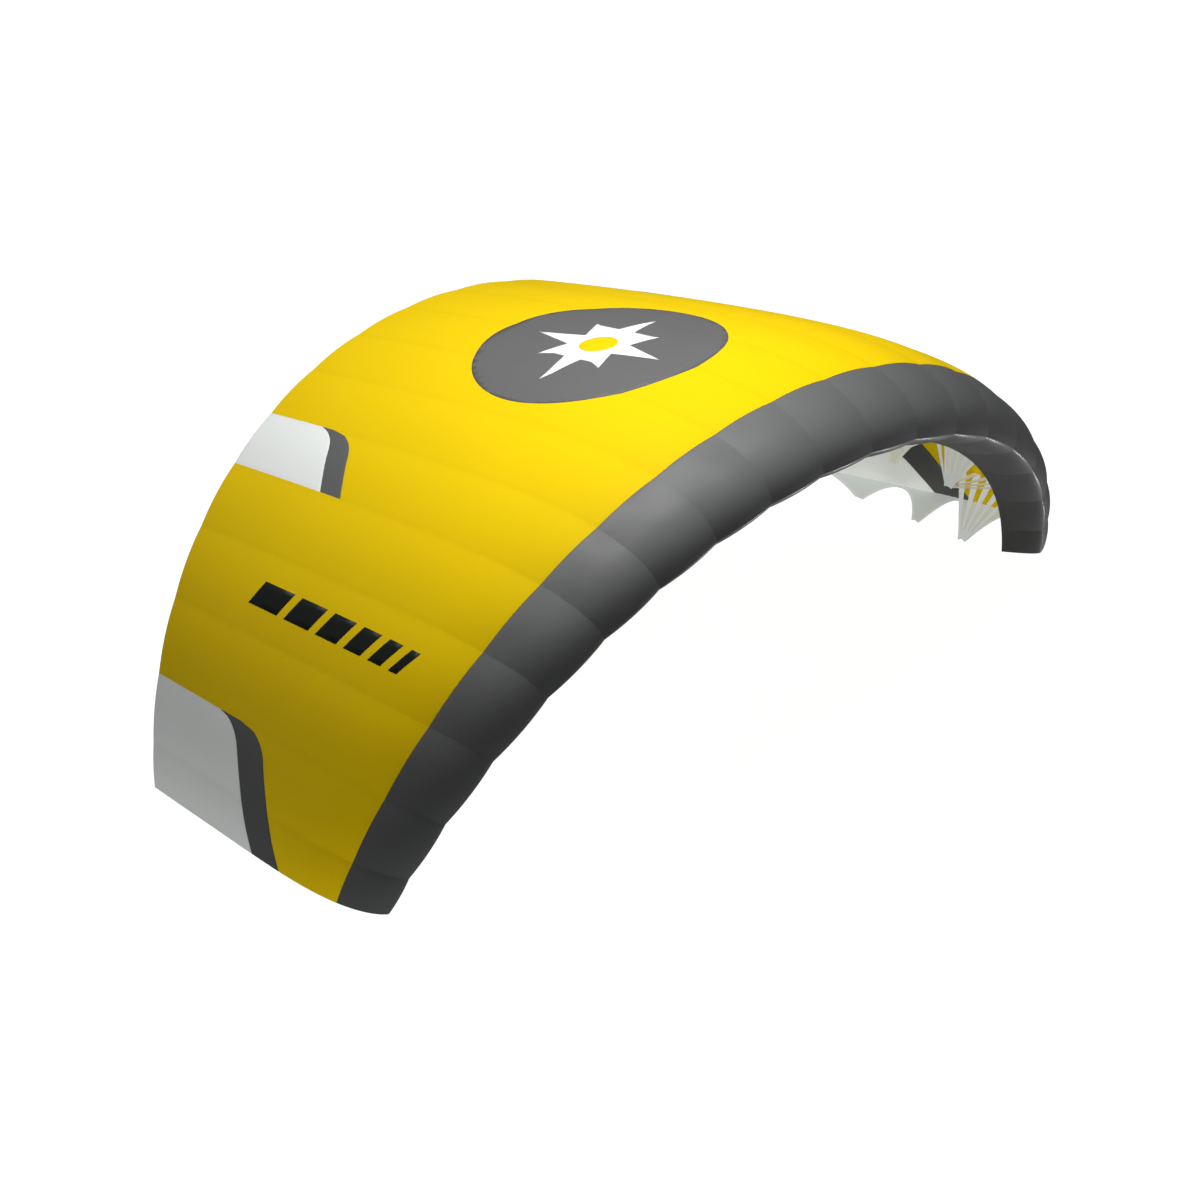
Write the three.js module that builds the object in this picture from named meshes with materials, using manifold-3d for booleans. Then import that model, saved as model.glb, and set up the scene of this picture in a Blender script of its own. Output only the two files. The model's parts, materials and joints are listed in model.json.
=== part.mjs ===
// Parawing: a single-skin kite wing of eighteen cells in its flying shape, standing on its wing tips.
// Lengths are in millimetres and angles in degrees. +X runs along the span, +Y towards the trailing
// edge and +Z up. The origin is on the ground under the middle of the bounding box.
import * as THREE from "three";
import { mergeVertices } from "three/addons/utils/BufferGeometryUtils.js";
import Module from "manifold-3d";

const wasm = await Module();
wasm.setup();

// Cells of one half of the wing, from the tip to the centre
const HALF_CELLS = [
  { cell: 1, width: 101 },
  { cell: 2, width: 166 },
  { cell: 3, width: 193 },
  { cell: 4, width: 207 },
  { cell: 5, width: 203 },
  { cell: 6, width: 192 },
  { cell: 7, width: 201 },
  { cell: 8, width: 199 },
  { cell: 9, width: 197 },
];
const CELLS = 2 * HALF_CELLS.length;
const CENTRE = HALF_CELLS.length;
const HALF_SPAN = HALF_CELLS.reduce((sum, row) => sum + row.width, 0);

// The wing's plan and arc, as polynomials of t, which is 0 at the centre and 1 at a tip
const CENTRE_CHORD = 1487;
const CHORD_TAPER = { t2: -0.362, t4: -0.055, t6: 0.021 };
const SWEEP = { t2: 267, t4: 7.4 };
const TIP_TILT = 72.3;
const TILT_SHARE = { t1: 0.848, t3: 0.107, t5: 0.045 };
const PITCH = { t0: 1.75, t2: -0.28, t4: 1.61 };
const YAW = { t2: -4.85, t4: 6.18 };
const TIP_FLARE = 8;

// The section, as fractions of the chord: top camber weights, and the short underskin
const CAMBER = [
  { weight: "front", centre: 0.3426, tipChange: 0.0357 },
  { weight: "middle", centre: 0.2156, tipChange: -0.035 },
  { weight: "rear", centre: 0.2191, tipChange: -0.045 },
];
const UNDERSKIN = { depth: 0.1486, depthTipChange: -0.0724, length: 0.116, hemDrop: 0.0505 };
const TOP_SEAM = { centre: 0.1201, tipChange: -0.0087 };

// How far a cell bulges between its two ribs
const BULGE = { nose: 7, rear: 2.5, reach: 0.4 };

// Cloth
const SKIN = 2;
const RIB = 1.5;
const STRAP = 1.2;
const GAP = 0.3;
const SLACK = 0.1;
const RIB_DEPTH = SKIN + GAP + SLACK;

// Front edges of the stripe and of the light panel, as chord fractions at positions along the cells
const PANEL_EDGES = [
  { at: 0, stripe: 0.358, panel: 0.497 },
  { at: 1, stripe: 0.449, panel: 0.571 },
  { at: 1.5, stripe: 0.506, panel: 0.622 },
  { at: 1.75, stripe: 0.535, panel: 0.647 },
  { at: 1.9, stripe: 0.562, panel: 0.677 },
  { at: 2, stripe: 0.623, panel: 0.715 },
  { at: 5, stripe: 0.667, panel: 0.73 },
  { at: 5.5, stripe: 0.713, panel: 0.775 },
  { at: 5.75, stripe: 0.737, panel: 0.799 },
  { at: 5.9, stripe: 0.76, panel: 0.822 },
  { at: 6, stripe: 0.805, panel: 0.866 },
  { at: 9, stripe: 0.72, panel: 0.84 },
];
const TIP_PANEL = { from: 0, to: 2 };
const MID_PANEL = { from: 5, to: 6 };

// The skin and its leading edge are sewn from parts of three cells, and the underskin from two halves
const SKIN_PARTS = [
  { part: "outer_left", from: 0, to: 3 },
  { part: "inner_left", from: 3, to: 6 },
  { part: "centre_left", from: 6, to: 9 },
  { part: "centre_right", from: 9, to: 12 },
  { part: "inner_right", from: 12, to: 15 },
  { part: "outer_right", from: 15, to: 18 },
];
const UNDERSKIN_PARTS = [
  { part: "left", from: 0, to: 9 },
  { part: "right", from: 9, to: 18 },
];

// Line tabs of a rib: place and drop below the chord line as chord fractions, at a tip and inboard
const TABS = [
  { tab: "front", at: 0.263, tipDrop: 0.065, innerDrop: 0.095 },
  { tab: "middle", at: 0.452, tipDrop: 0.0565, innerDrop: 0.09 },
  { tab: "rear", at: 0.684, tipDrop: 0.0455, innerDrop: 0.075 },
];
const TAB_DROP_EASE = { inner: 0.55, tip: 0.8 };
const TAB_WIDTH = 25;
const ARCH_TOPS = [0.185, 0.36, 0.59];
const ARCH_STRIP = 10;
const ARCH_EASE = { steep: 0.31, gentle: 0.68 };
const REAR_ARCH = { x: 0.4, y: 0.68 };
const RIB_END = 0.88;

// Fans of straps from a front tab to the next rib's seam
const FAN = { front: 0.15, rear: 0.372, straps: 5, strapShare: 0.55, joined: 0.25, tabInset: 4 };

// Mesh steps
const CELL_STEPS = [0, 0.25, 0.5, 0.75];
const CORNER_STEP = 0.9;
const SKIN_ROWS = { main: 8, stripe: 2, panel: 5 };
const NOSE_ROWS = { under: 5, top: 8 };
const ARC_STEPS = 60;
const ARCH_STEPS = 6;
const MERGE_DISTANCE = 1e-4;
const FOOT_CUT = 1;

const COLOURS = {
  main: { color: 0xf2c800, roughness: 0.55 },
  dark: { color: 0x3c3d3d, roughness: 0.6 },
  light: { color: 0xdfe3e3, roughness: 0.55 },
  rib: { color: 0xc3c9c6, roughness: 0.65 },
  strap: { color: 0xd8dddb, roughness: 0.65 },
};

const radians = THREE.MathUtils.degToRad;
const lerp = THREE.MathUtils.lerp;

// Distance from the centre along the arc, as a share of the half span, negative on the left
function spanShare(s) {
  const near = Math.min(s, CELLS - s);
  const cell = Math.min(Math.floor(near), CENTRE - 1);
  const outer = HALF_CELLS.slice(0, cell).reduce((sum, row) => sum + row.width, 0);
  const share = 1 - (outer + (near - cell) * HALF_CELLS[cell].width) / HALF_SPAN;
  return s < CENTRE ? -share : share;
}

function cellWidth(cell) {
  return HALF_CELLS[Math.min(cell, CELLS - 1 - cell)].width;
}

function tilt(t) {
  const share = TILT_SHARE.t1 * t + TILT_SHARE.t3 * t ** 3 + TILT_SHARE.t5 * t ** 5;
  return radians(TIP_TILT) * share;
}

// Place of the nose line at t in the plane of the arc, by the midpoint rule
function arcPoint(t) {
  const step = t / ARC_STEPS;
  let x = 0;
  let z = 0;
  for (let i = 0; i < ARC_STEPS; i += 1) {
    const angle = tilt((i + 0.5) * step);
    x += Math.cos(angle) * step * HALF_SPAN;
    z -= Math.sin(angle) * step * HALF_SPAN;
  }
  return { x, z };
}

// Origin, directions and chord of the wing's section at s, which counts ribs from the left tip
function section(s) {
  const signed = spanShare(s);
  const side = signed < 0 ? -1 : 1;
  const t = Math.abs(signed);
  const angle = tilt(t);
  const { x, z } = arcPoint(t);
  const chord = CENTRE_CHORD
    * (1 + CHORD_TAPER.t2 * t ** 2 + CHORD_TAPER.t4 * t ** 4 + CHORD_TAPER.t6 * t ** 6);
  const flare = TIP_FLARE * Math.max(0, 1 - Math.min(s, CELLS - s));
  const pitch = radians(PITCH.t0 + PITCH.t2 * t ** 2 + PITCH.t4 * t ** 4);
  const yaw = radians(YAW.t2 * t ** 2 + YAW.t4 * t ** 4) - flare / chord;
  const outboard = new THREE.Vector3(side * Math.cos(angle), 0, -Math.sin(angle));
  const upward = new THREE.Vector3(side * Math.sin(angle), 0, Math.cos(angle));
  const aft = new THREE.Vector3(0, Math.cos(pitch), 0).addScaledVector(upward, -Math.sin(pitch));
  const out = upward.multiplyScalar(Math.cos(pitch));
  out.y = Math.sin(pitch);
  const along = aft.multiplyScalar(Math.cos(yaw)).addScaledVector(outboard, Math.sin(yaw));
  const origin = new THREE.Vector3(side * x, SWEEP.t2 * t ** 2 + SWEEP.t4 * t ** 4, z);
  origin.addScaledVector(outboard, flare);
  return { t, chord, origin, along, out, across: along.clone().cross(out) };
}

// The section's outline runs along q: q squared is the chord fraction, and q is negative below
function outlinePoint(q, t) {
  const u = q * q;
  if (q >= 0) {
    const [front, middle, rear] = CAMBER.map((row) => row.centre + row.tipChange * t * t);
    const camber = front * (1 - u) ** 2 + 2 * middle * u * (1 - u) + rear * u * u;
    return new THREE.Vector2(u, q * (1 - u) * camber);
  }
  const depth = UNDERSKIN.depth + UNDERSKIN.depthTipChange * t * t;
  const hemShare = u / UNDERSKIN.length;
  const lift = depth * Math.sqrt(UNDERSKIN.length) - UNDERSKIN.hemDrop;
  return new THREE.Vector2(u, depth * q + lift * hemShare);
}

function outlineTangent(q, t) {
  const step = 0.001;
  const low = q < 0 ? q - step : q;
  return outlinePoint(low + step, t).sub(outlinePoint(low, t)).divideScalar(step);
}

// A point of the outline in millimetres, moved inwards by depth
function outlineAt(q, place, depth) {
  const tangent = outlineTangent(q, place.t).normalize();
  const point = outlinePoint(q, place.t).multiplyScalar(place.chord);
  return point.add(new THREE.Vector2(tangent.y, -tangent.x).multiplyScalar(depth));
}

function toSpace(point, place, sideways = 0) {
  return place.origin.clone()
    .addScaledVector(place.along, point.x)
    .addScaledVector(place.out, point.y)
    .addScaledVector(place.across, sideways);
}

// Outward bulge of a cell, greatest at the nose and none at the underskin's hem
function bulge(s, q) {
  const cell = Math.min(Math.floor(s), CELLS - 1);
  const between = s - cell;
  const arch = 4 * between * (1 - between) * cellWidth(cell) / cellWidth(CENTRE);
  if (q < 0) {
    return BULGE.nose * arch * (1 - q * q / UNDERSKIN.length);
  }
  return arch * (BULGE.rear + (BULGE.nose - BULGE.rear) * Math.exp(-((q / BULGE.reach) ** 2)));
}

function skinPoint(s, q, depth) {
  const place = section(s);
  return toSpace(outlineAt(q, place, depth - bulge(s, q)), place);
}

// Positions of the mesh columns along the span, with one more beside each rounded panel corner
function columnPositions() {
  const corners = [TIP_PANEL.to, MID_PANEL.to].map((end) => end - 1 + CORNER_STEP);
  const all = [...corners, ...corners.map((s) => CELLS - s), CELLS];
  for (let cell = 0; cell < CELLS; cell += 1) {
    CELL_STEPS.forEach((step) => all.push(cell + step));
  }
  return all.sort((a, b) => a - b);
}

function panelEdges(s) {
  const near = Math.min(s, CELLS - s);
  const next = Math.max(1, PANEL_EDGES.findIndex((row) => row.at >= near));
  const [low, high] = [PANEL_EDGES[next - 1], PANEL_EDGES[next]];
  const share = (near - low.at) / (high.at - low.at);
  return {
    stripe: lerp(low.stripe, high.stripe, share),
    panel: lerp(low.panel, high.panel, share),
  };
}

function steps(from, to, count) {
  return Array.from({ length: count }, (_, i) => lerp(from, to, i / count));
}

// The seam between the leading edge and the single skin at s, as a value of q
function topSeam(s) {
  return Math.sqrt(TOP_SEAM.centre + TOP_SEAM.tipChange * section(s).t ** 2);
}

// Rows of the single skin at s, from the top seam to the trailing edge, as values of q
function skinRows(s) {
  const seam = topSeam(s);
  const edges = panelEdges(s);
  const stripe = Math.sqrt(edges.stripe);
  const panel = Math.sqrt(edges.panel);
  return [
    ...steps(seam, stripe, SKIN_ROWS.main),
    ...steps(stripe, panel, SKIN_ROWS.stripe),
    ...steps(panel, 1, SKIN_ROWS.panel),
    1,
  ];
}

// Rows of the underskin, from its hem to the nose
function underRows() {
  return [...steps(-Math.sqrt(UNDERSKIN.length), 0, NOSE_ROWS.under), 0];
}

// Rows of the leading edge at s, from the nose to the top seam
function topRows(s) {
  const seam = topSeam(s);
  return [...steps(0, seam, NOSE_ROWS.top), seam];
}

function noseRows(s) {
  return [...underRows(), ...topRows(s).slice(1)];
}

// A closed solid from triangles, with shared corners
function closedGeometry(points, triangles) {
  const geometry = new THREE.BufferGeometry();
  const numbers = points.flatMap((point) => point.toArray());
  geometry.setAttribute("position", new THREE.Float32BufferAttribute(numbers, 3));
  geometry.setIndex(triangles);
  geometry.computeVertexNormals();
  return geometry;
}

// A sheet over the kept squares of a grid. pointAt(i, j, side, di, dj) gives the outer face for
// side 0 and the inner one for side 1, moved in the sheet by di and dj where it has a free edge.
function gridSheet(keeps, columns, rows, pointAt) {
  const kept = (i, j) => i >= 0 && j >= 0 && i < columns && j < rows && keeps(i, j);
  const points = [];
  const numbers = new Map();
  const triangles = [];
  const corner = (i, j, side) => {
    const key = `${i},${j},${side}`;
    if (!numbers.has(key)) {
      let di = 0;
      let dj = 0;
      for (const [ci, cj] of [[-1, -1], [0, -1], [-1, 0], [0, 0]]) {
        if (kept(i + ci, j + cj)) {
          di += 2 * ci + 1;
          dj += 2 * cj + 1;
        }
      }
      numbers.set(key, points.length);
      points.push(pointAt(i, j, side, Math.sign(di), Math.sign(dj)));
    }
    return numbers.get(key);
  };
  const square = (a, b, c, d) => triangles.push(a, b, c, a, c, d);
  for (let i = 0; i < columns; i += 1) {
    for (let j = 0; j < rows; j += 1) {
      if (kept(i, j)) {
        const ring = [[i, j], [i + 1, j], [i + 1, j + 1], [i, j + 1]];
        const beside = [[i, j - 1], [i + 1, j], [i, j + 1], [i - 1, j]];
        square(...ring.map(([a, b]) => corner(a, b, 0)));
        square(...ring.map(([a, b]) => corner(a, b, 1)).reverse());
        beside.forEach(([bi, bj], k) => {
          if (!kept(bi, bj)) {
            const from = ring[k];
            const to = ring[(k + 1) % ring.length];
            square(corner(...to, 0), corner(...from, 0), corner(...from, 1), corner(...to, 1));
          }
        });
      }
    }
  }
  return closedGeometry(points, triangles);
}

// A piece of skin over the kept squares, drawn in by half a gap along its free edges
function skinGeometry(columns, rowsAt, keeps) {
  const rows = columns.map(rowsAt);
  const inset = (GAP + SLACK) / 2;
  return gridSheet(keeps, columns.length - 1, rows[0].length - 1, (i, j, side, di, dj) => {
    const cell = Math.min(Math.floor(columns[i]), CELLS - 1);
    const s = columns[i] + di * inset / cellWidth(cell);
    const place = section(columns[i]);
    const stretch = outlineTangent(rows[i][j], place.t).length() * place.chord;
    return skinPoint(THREE.MathUtils.clamp(s, 0, CELLS), rows[i][j] + dj * inset / stretch, side * SKIN);
  });
}

// How far down a line tab reaches at t: its tip drop near the tips, its inner drop further in
function tabDrop(tab, t) {
  const inner = 1 - THREE.MathUtils.smoothstep(t, TAB_DROP_EASE.inner, TAB_DROP_EASE.tip);
  return lerp(tab.tipDrop, tab.innerDrop, inner);
}

// The skin's rows at s from the hem round the nose towards the trailing edge, as values of q
function allRows(s) {
  return [...noseRows(s), ...skinRows(s).slice(1)];
}

// A point under the skin's inner face, which is straight between two rows
function underSkin(q, s, depth) {
  const place = section(s);
  const rows = allRows(s);
  const next = Math.max(1, rows.findIndex((row) => row >= q));
  const low = outlineAt(rows[next - 1], place, depth);
  const high = outlineAt(rows[next], place, depth);
  return low.lerp(high, (q - rows[next - 1]) / (rows[next] - rows[next - 1]));
}

// One arch of the lower edge, from the tab behind it up to its top and down to the tab ahead
function addArch(shape, start, top, end) {
  shape.quadraticCurveTo(lerp(start.x, top.x, ARCH_EASE.steep), top.y, top.x, top.y);
  shape.quadraticCurveTo(lerp(end.x, top.x, ARCH_EASE.gentle), top.y, end.x, end.y);
}

function tabCorners(tab, place) {
  const x = tab.at * place.chord;
  const y = -tabDrop(tab, place.t) * place.chord;
  return {
    ahead: new THREE.Vector2(x - TAB_WIDTH / 2, y),
    behind: new THREE.Vector2(x + TAB_WIDTH / 2, y),
  };
}

// The line rib's outline: along the skin to its rear end, then forwards over arches and tabs
function lineRibShape(number) {
  const place = section(number);
  const rows = allRows(number).filter((q) => q < 0 || q * q < RIB_END);
  const top = rows.map((q) => outlineAt(q, place, RIB_DEPTH));
  const shape = new THREE.Shape(top);
  const below = (u) => {
    return underSkin(Math.sqrt(u), number, RIB_DEPTH).sub(new THREE.Vector2(0, ARCH_STRIP));
  };
  const tabs = TABS.map((tab) => tabCorners(tab, place));
  const last = tabs[tabs.length - 1].behind;
  const end = top[top.length - 1];
  const rise = [lerp(last.x, end.x, REAR_ARCH.x), lerp(last.y, end.y, REAR_ARCH.y)];
  shape.quadraticCurveTo(...rise, last.x, last.y);
  for (let i = tabs.length - 1; i >= 0; i -= 1) {
    const next = i > 0 ? tabs[i - 1].behind : top[0];
    shape.lineTo(tabs[i].ahead.x, tabs[i].ahead.y);
    addArch(shape, tabs[i].ahead, below(ARCH_TOPS[i]), next);
  }
  return shape;
}

// The nose rib's outline: round the nose under the skin, then straight down behind it to the hem
function noseRibShape(number) {
  const place = section(number);
  return new THREE.Shape(noseRows(number).map((q) => outlineAt(q, place, RIB_DEPTH)));
}

// The ribs at the wing tips stand inside the skin's edge, the others in the middle of the seam
function ribShift(number) {
  if (number > 0 && number < CELLS) {
    return 0;
  }
  return number === 0 ? RIB / 2 : -RIB / 2;
}

// A rib stands in its section's plane
function ribMesh(number, shape) {
  const place = section(number);
  const geometry = new THREE.ExtrudeGeometry(shape, {
    depth: RIB,
    bevelEnabled: false,
    curveSegments: ARCH_STEPS,
  });
  geometry.translate(0, 0, ribShift(number) - RIB / 2);
  const mesh = new THREE.Mesh(geometry);
  mesh.applyMatrix4(new THREE.Matrix4()
    .makeBasis(place.along, place.out, place.across)
    .setPosition(place.origin));
  return mesh;
}

// Straps and windows of a fan, as shares of its width, from the front strap to the rear one
function fanColumns() {
  const strap = FAN.strapShare / FAN.straps;
  const window = (1 - FAN.strapShare) / (FAN.straps - 1);
  const edges = [0];
  for (let i = 0; i < FAN.straps; i += 1) {
    edges.push(edges[edges.length - 1] + strap);
    if (i < FAN.straps - 1) {
      edges.push(edges[edges.length - 1] + window);
    }
  }
  return edges;
}

// A fan runs from the face of a line rib's front tab to the skin beside the next rib's seam
function fanGeometry(number, side) {
  const rib = section(number);
  const seam = section(number + side);
  const tab = tabCorners(TABS[0], rib);
  const clear = RIB / 2 + GAP + STRAP / 2;
  const low = (share) => {
    const corner = tab.ahead.clone().lerp(tab.behind, share);
    corner.y += FAN.tabInset;
    return toSpace(corner, rib, ribShift(number) + side * clear);
  };
  const high = (share) => {
    const q = Math.sqrt(lerp(FAN.front, FAN.rear, share));
    return toSpace(underSkin(q, number + side, SKIN + GAP + STRAP / 2), seam, -side * clear);
  };
  const middle = high(0.5).sub(low(0.5)).normalize();
  const face = rib.along.clone().cross(middle).normalize().multiplyScalar(STRAP / 2);
  const shares = fanColumns();
  const reaches = [0, FAN.joined, 1];
  const keeps = (i, j) => j === 0 || i % 2 === 0;
  return gridSheet(keeps, shares.length - 1, reaches.length - 1, (i, j, layer) => {
    const point = low(shares[i]).lerp(high(shares[i]), reaches[j]);
    return point.addScaledVector(face, layer === 0 ? 1 : -1);
  });
}

function named(mesh, name, finish) {
  mesh.name = name;
  mesh.material = new THREE.MeshStandardMaterial({ ...COLOURS[finish], metalness: 0 });
  return mesh;
}

function addSkins(wing) {
  const columns = columnPositions();
  const panelRow = SKIN_ROWS.main + SKIN_ROWS.stripe;
  const near = (i) => Math.min(columns[i], CELLS - columns[i + 1]);
  const within = (i, panel) => near(i) >= panel.from && near(i) < panel.to;
  const inset = (i) => within(i, TIP_PANEL) || within(i, MID_PANEL);
  const onSide = (i, side) => (side < 0) === (columns[i] < CENTRE);
  const add = (name, finish, rowsAt, keeps) => {
    wing.add(named(new THREE.Mesh(skinGeometry(columns, rowsAt, keeps)), name, finish));
  };
  const along = (i, { from, to }) => columns[i] >= from && columns[i] < to;
  for (const row of SKIN_PARTS) {
    const keeps = (i, j) => along(i, row) && (j < SKIN_ROWS.main || !inset(i));
    add(`skin_${row.part}`, "main", skinRows, keeps);
    add(`leading_edge_${row.part}`, "dark", topRows, (i) => along(i, row));
  }
  for (const row of UNDERSKIN_PARTS) {
    add(`underskin_${row.part}`, "dark", underRows, (i) => along(i, row));
  }
  for (const [side, word] of [[-1, "left"], [1, "right"]]) {
    for (const [panel, place] of [[TIP_PANEL, "tip"], [MID_PANEL, "mid"]]) {
      const here = (i) => within(i, panel) && onSide(i, side);
      add(`${place}_panel_${word}`, "light", skinRows, (i, j) => here(i) && j >= panelRow);
      add(`${place}_stripe_${word}`, "dark", skinRows,
        (i, j) => here(i) && j >= SKIN_ROWS.main && j < panelRow);
    }
  }
}

function twoDigits(number) {
  return String(number).padStart(2, "0");
}

function addRibs(wing) {
  for (let number = 0; number <= CELLS; number += 1) {
    const carriesLines = number % 2 === 0;
    const shape = carriesLines ? lineRibShape(number) : noseRibShape(number);
    const name = `${carriesLines ? "line" : "nose"}_rib_${twoDigits(number)}`;
    wing.add(named(ribMesh(number, shape), name, "rib"));
  }
}

function addFans(wing) {
  for (let number = 0; number <= CELLS; number += 2) {
    for (const [side, word] of [[-1, "left"], [1, "right"]]) {
      if (number + side > 0 && number + side < CELLS) {
        const mesh = new THREE.Mesh(fanGeometry(number, side));
        wing.add(named(mesh, `fan_${twoDigits(number)}_${word}`, "strap"));
      }
    }
  }
}

function toManifold(geometry) {
  const bare = geometry.clone();
  bare.deleteAttribute("normal");
  bare.deleteAttribute("uv");
  const merged = mergeVertices(bare, MERGE_DISTANCE);
  return new wasm.Manifold(new wasm.Mesh({
    numProp: 3,
    vertProperties: merged.attributes.position.array,
    triVerts: Uint32Array.from(merged.index.array),
  }));
}

// Trims what is below the ground off a mesh, so that its tabs stand flat
function trimBelowGround(mesh) {
  mesh.updateWorldMatrix(true, false);
  const solid = toManifold(mesh.geometry.clone().applyMatrix4(mesh.matrixWorld));
  const size = 4 * HALF_SPAN;
  const below = toManifold(new THREE.BoxGeometry(size, size, size).translate(0, 0, -size / 2));
  const { vertProperties, triVerts } = solid.subtract(below).getMesh();
  const geometry = new THREE.BufferGeometry();
  geometry.setAttribute("position", new THREE.BufferAttribute(vertProperties, 3));
  geometry.setIndex(new THREE.BufferAttribute(triVerts, 1));
  geometry.applyMatrix4(mesh.matrixWorld.clone().invert());
  geometry.computeVertexNormals();
  mesh.geometry = geometry;
}

// Stands the wing on the tabs of its tip ribs, level from the front tab to the rear one
function stand(wing) {
  const tipRib = section(0);
  const tabs = TABS.map((tab) => toSpace(tabCorners(tab, tipRib).behind, tipRib));
  const line = tabs[tabs.length - 1].clone().sub(tabs[0]);
  wing.rotation.x = -Math.atan2(line.z, line.y);
  wing.updateMatrixWorld(true);
  const box = new THREE.Box3().setFromObject(wing, true);
  wing.position.set(0, -(box.min.y + box.max.y) / 2, -box.min.z - FOOT_CUT);
  wing.updateMatrixWorld(true);
  const tips = [0, CELLS].map((number) => `line_rib_${twoDigits(number)}`);
  tips.forEach((name) => trimBelowGround(wing.getObjectByName(name)));
}

const wing = new THREE.Group();
addSkins(wing);
addRibs(wing);
addFans(wing);
stand(wing);

const parawing = new THREE.Group();
parawing.add(wing);
export default parawing;
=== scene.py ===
"""Looks of a single-skin parawing in its flying shape, standing on its wing tips.

Lengths are in metres. X runs along the span, Y towards the trailing edge and Z upwards.
"""
import json
import math

import bpy
import numpy as np
from mathutils import Matrix, Vector
from mathutils.geometry import delaunay_2d_cdt

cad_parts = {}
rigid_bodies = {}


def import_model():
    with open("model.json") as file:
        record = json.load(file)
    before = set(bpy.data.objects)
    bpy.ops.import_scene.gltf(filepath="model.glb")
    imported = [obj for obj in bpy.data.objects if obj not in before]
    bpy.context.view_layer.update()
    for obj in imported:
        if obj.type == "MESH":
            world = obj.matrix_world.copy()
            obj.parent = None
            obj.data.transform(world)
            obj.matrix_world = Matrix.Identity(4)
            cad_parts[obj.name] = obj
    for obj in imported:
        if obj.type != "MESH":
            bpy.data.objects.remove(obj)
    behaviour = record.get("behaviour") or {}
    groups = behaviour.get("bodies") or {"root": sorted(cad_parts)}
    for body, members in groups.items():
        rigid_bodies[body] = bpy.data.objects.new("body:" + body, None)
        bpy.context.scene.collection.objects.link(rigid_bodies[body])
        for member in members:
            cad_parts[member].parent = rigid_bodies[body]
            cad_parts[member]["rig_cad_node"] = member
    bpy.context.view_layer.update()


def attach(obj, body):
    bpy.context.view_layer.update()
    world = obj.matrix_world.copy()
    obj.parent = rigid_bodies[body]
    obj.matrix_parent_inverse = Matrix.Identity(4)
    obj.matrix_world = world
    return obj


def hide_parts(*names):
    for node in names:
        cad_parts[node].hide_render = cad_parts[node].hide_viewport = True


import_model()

# Cells of one half of the wing, from the tip to the centre
CELL_WIDTHS = np.array([0.101, 0.166, 0.193, 0.207, 0.203, 0.192, 0.201, 0.199, 0.197])
CELLS = 2 * len(CELL_WIDTHS)
CENTRE = len(CELL_WIDTHS)
HALF_SPAN = CELL_WIDTHS.sum()
OUTER_WIDTHS = np.concatenate([[0], np.cumsum(CELL_WIDTHS)])

# The wing's plan and arc, as polynomials of t, which is 0 at the centre and 1 at a tip
CENTRE_CHORD = 1.487
CHORD_TAPER = {2: -0.362, 4: -0.055, 6: 0.021}
SWEEP = {2: 0.267, 4: 0.0074}
TIP_TILT = math.radians(72.3)
TILT_SHARE = {1: 0.848, 3: 0.107, 5: 0.045}
PITCH_DEGREES = {0: 1.75, 2: -0.28, 4: 1.61}
YAW_DEGREES = {2: -4.85, 4: 6.18}
TIP_FLARE = 0.008
ARC_STEPS = 60

# The section, as fractions of the chord, with what a tip adds to the value at the centre
CAMBER = {"front": (0.3426, 0.0357), "middle": (0.2156, -0.035), "rear": (0.2191, -0.045)}
UNDERSKIN = {"depth": 0.1486, "tip_change": -0.0724, "length": 0.116, "hem_drop": 0.0505}
TOP_SEAM = {"centre": 0.1201, "tip_change": -0.0087}

# The underskin's free hem, as q, whose square is the chord fraction and which is negative below
HEM = -math.sqrt(UNDERSKIN["length"])

# The bulge of a cell at the nose and at the rear, and how soon the one becomes the other
BULGE = {"nose": 0.007, "rear": 0.0025, "reach": 0.4}

# How the wing stands on the ground: its turn about the span in radians, and its place
WING_TURN = 0.01588384
WING_PLACE = np.array([0.0, -0.7404192, 0.8719991])

# Front edges of the stripe and of the light panel as chord fractions, at cells counted from a tip
PANEL_AT = [0, 0.5, 1, 1.5, 1.7, 1.82, 1.9, 1.96, 2, 4.5, 5, 5.5, 5.7, 5.82, 5.9, 5.96, 6, 9]
STRIPE_EDGE = [0.351, 0.404, 0.451, 0.505, 0.526, 0.546, 0.567, 0.59, 0.64,
               0.6245, 0.67, 0.7155, 0.733, 0.748, 0.764, 0.781, 0.812, 0.72]
PANEL_EDGE = [0.485, 0.533, 0.574, 0.62, 0.64, 0.659, 0.678, 0.7, 0.73,
              0.6875, 0.731, 0.7745, 0.79, 0.803, 0.817, 0.831, 0.846, 0.84]

# Cells of the panels counted from a tip, and cells of the skins counted from the left tip
PANELS = {"tip": (0, 2), "mid": (5, 6)}
SKIN_PARTS = {"outer_left": (0, 3), "inner_left": (3, 6), "centre_left": (6, 9),
              "centre_right": (9, 12), "inner_right": (12, 15), "outer_right": (15, 18)}
UNDERSKIN_PARTS = {"left": (0, 9), "right": (9, 18)}

# Depths under the modelled surface, and how far an edge laps under its neighbour
OUTER_DEPTH = 0.0002
TUCK = 0.0008
RIB_TOP_DEPTH = 0.0019
LAP = 0.009
EASE = 0.004

# Thickness of the skins, ribs, straps and patches, and of a tape on each side of a rib
CLOTH = 0.0006
RIB = 0.0009
STRAP = 0.0008
PATCH = 0.0003
TAPE_LIFT = 0.0003

# Line tabs of a rib: chord fraction, and drop below the chord line at a tip and inboard
TABS = {"front": (0.263, 0.065, 0.095), "middle": (0.452, 0.0565, 0.09), "rear": (0.684, 0.0455, 0.075)}
TAB_DROP_EASE = (0.55, 0.8)
TAB_WIDTH = 0.025

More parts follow.
